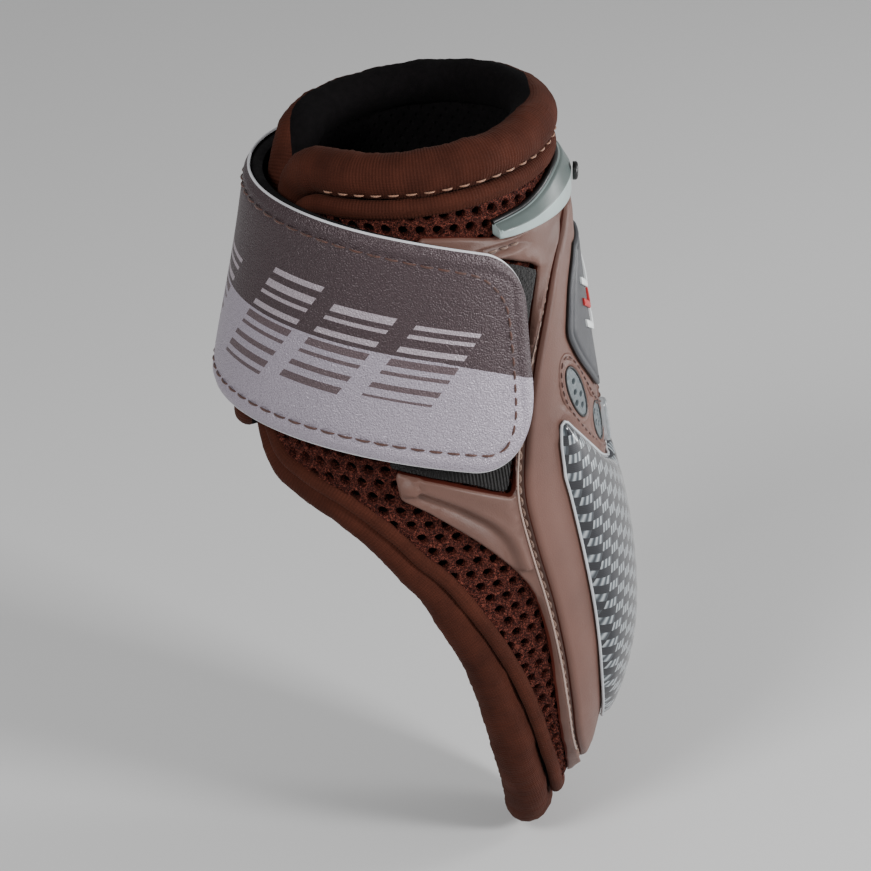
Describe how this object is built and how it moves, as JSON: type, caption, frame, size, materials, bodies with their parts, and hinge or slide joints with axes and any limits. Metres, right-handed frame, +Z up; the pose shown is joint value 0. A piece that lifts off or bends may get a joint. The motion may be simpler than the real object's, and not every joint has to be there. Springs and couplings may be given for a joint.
{
  "type": "horse tendon boot",
  "caption": "Padded wrap for a horse's hind fetlock: moulded shell and domed strike guard at the back, rolled trims, and one wide hook-and-loop strap that peels open with both front flaps.",
  "frame": {"origin": "on the leg's axis, level with the rim, where the boot is held by the leg it wraps", "axes": "+Z up along the leg, +X towards the spine of the shell at the back of the leg, -X towards the front opening, -Y towards the side where the strap's tongue closes"},
  "size_m": [0.1122, 0.0986, 0.2124],
  "materials": {
    "lining_neoprene": "black perforated neoprene",
    "spacer_mesh": "open three-dimensional polyester mesh",
    "trim_lycra": "stretch fabric over a foam roll",
    "binding_lycra": "stretch binding tape",
    "shell_tpu": "moulded TPU, fine matt grain",
    "plate_tpu": "moulded TPU, satin",
    "guard_carbon": "carbon weave under clear lacquer",
    "guard_bead": "silver bead",
    "impact_gel": "soft gel pad",
    "badge_plastic": "satin",
    "badge_relief": "pearl",
    "vent_plastic": "satin",
    "window_clear": "clear",
    "intake_plastic": "satin",
    "stud_plastic": "black",
    "loop_pile": "unbroken loop",
    "hook_pile": "moulded hook",
    "strap_face": "two-tone grained polyurethane",
    "strap_backing": "neoprene with fabric face"
  },
  "bodies": {
    "boot": {"liner": "lining_neoprene", "air_mesh": "spacer_mesh", "rim_roll": "trim_lycra", "tail_roll": "trim_lycra", "rim_binding": "binding_lycra", "tail_binding": "binding_lycra", "shell": "shell_tpu", "spine_plate": "plate_tpu", "strike_guard": "guard_carbon", "guard_rim": "guard_bead", "impact_pad": "impact_gel", "badge": "badge_plastic", "badge_emblem": "badge_relief", "vent_inserts": "vent_plastic", "centre_window": "window_clear", "air_intake": "intake_plastic", "intake_stud": "stud_plastic", "loop_patch": "loop_pile", "anchor_patch": "loop_pile", "strap_anchor_backing": "strap_backing", "strap_anchor_face": "strap_face"},
    "near_flap": {"near_flap_liner": "lining_neoprene", "near_flap_mesh": "spacer_mesh", "near_flap_roll": "trim_lycra", "near_flap_binding": "binding_lycra"},
    "far_flap": {"far_flap_liner": "lining_neoprene", "far_flap_mesh": "spacer_mesh", "far_flap_roll": "trim_lycra", "far_flap_binding": "binding_lycra"},
    "strap_front": {"strap_front_backing": "strap_backing", "strap_front_face": "strap_face"},
    "strap_tongue": {"strap_tongue_backing": "strap_backing", "strap_tongue_face": "strap_face", "hook_patch": "hook_pile"}
  },
  "joints": [
    {"name": "strap_tongue_hinge", "type": "hinge", "parent": "strap_front", "child": "strap_tongue", "pos_m": [-0.04424, 0.00936, -0.02], "axis": [-0.1369, 0.0174, -0.9904], "range_deg": [0, 120]},
    {"name": "strap_anchor_hinge", "type": "hinge", "parent": "boot", "child": "strap_front", "pos_m": [-0.0126, 0.04344, -0.022], "axis": [-0.0397, 0.0793, -0.9961], "range_deg": [0, 60]},
    {"name": "far_flap_hinge", "type": "hinge", "parent": "boot", "child": "far_flap", "pos_m": [-0.01046, 0.03659, -0.012], "axis": [-0.0339, 0.0714, -0.9969], "range_deg": [0, 24]},
    {"name": "near_flap_hinge", "type": "hinge", "parent": "boot", "child": "near_flap", "pos_m": [-0.01046, -0.03659, -0.012], "axis": [0.0339, 0.0714, 0.9969], "range_deg": [0, 30]}
  ],
  "couplings": [
    {"joint": "strap_anchor_hinge", "follows": "strap_tongue_hinge", "ratio": 0.5},
    {"joint": "far_flap_hinge", "follows": "strap_tongue_hinge", "ratio": 0.2},
    {"joint": "near_flap_hinge", "follows": "strap_tongue_hinge", "ratio": 0.25}
  ]
}
